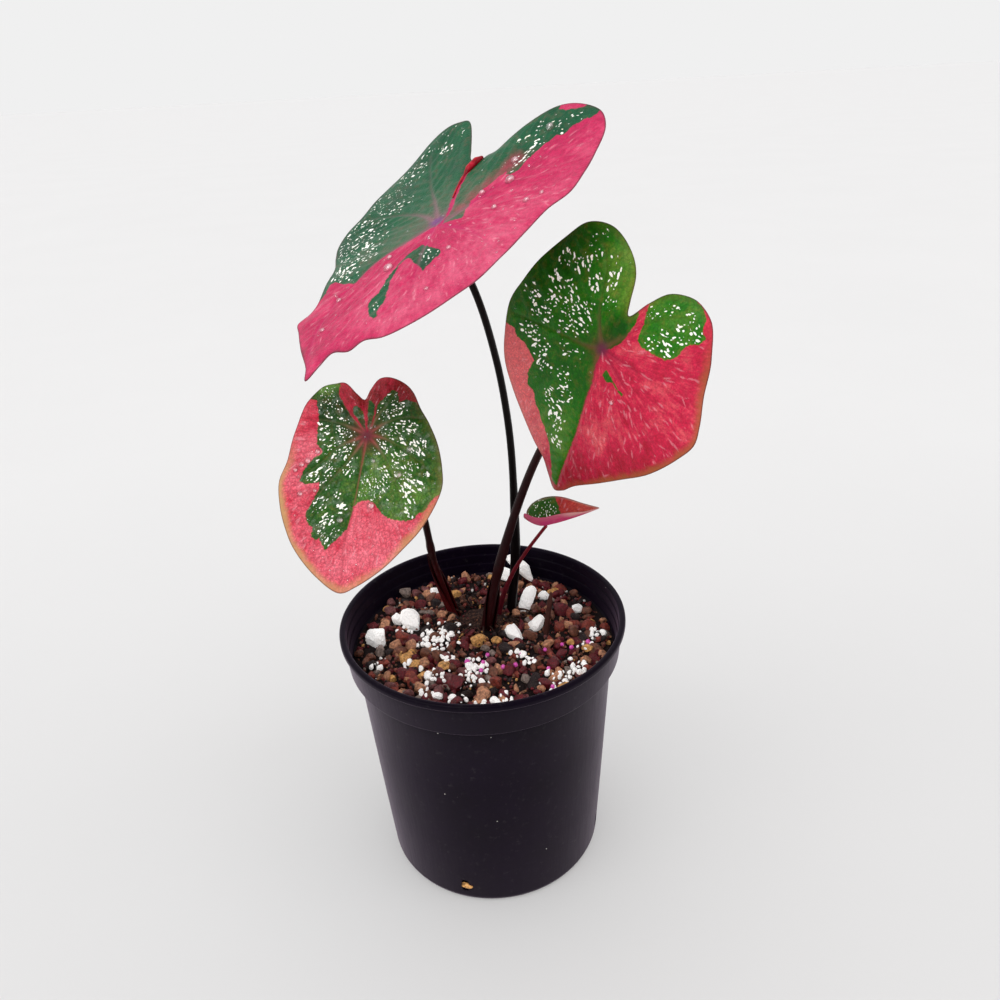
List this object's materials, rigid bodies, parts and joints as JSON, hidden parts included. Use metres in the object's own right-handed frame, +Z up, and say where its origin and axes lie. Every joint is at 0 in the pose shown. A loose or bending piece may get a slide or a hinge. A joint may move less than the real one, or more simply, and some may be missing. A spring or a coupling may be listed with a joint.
{
  "type": "potted caladium",
  "caption": "Caladium plant with heart-shaped blotched leaves on slender petioles, growing from a tuber in a round plastic nursery pot of gritty potting mix",
  "frame": {"origin": "Middle of the pot's underside, on the surface it stands on", "axes": "+Z up; +X to the right and +Y away, seen from the plant's front, where the leaves face"},
  "size_m": [0.1419, 0.1294, 0.3111],
  "materials": {
    "pot_plastic": "satin, finely scuffed",
    "potting_mix": "matt, gritty, stones of several colours",
    "pumice": "matt, chalky",
    "fertiliser": "matt coated beads",
    "tuber": "matt, fibrous",
    "petiole": "smooth, waxy",
    "leaf": "satin, waxy, blotched pink and green with cream flecks",
    "dew": "clear drops of water",
    "dry_stalk": "matt, dry"
  },
  "bodies": {
    "root": {"pot": "pot_plastic", "soil": "potting_mix", "tuber": "tuber", "petiole_top": "petiole", "petiole_right": "petiole", "petiole_left": "petiole", "petiole_small": "petiole", "leaf_top": "leaf", "leaf_right": "leaf", "leaf_left": "leaf", "leaf_small": "leaf", "dried_stalk": "dry_stalk"}
  },
  "joints": []
}
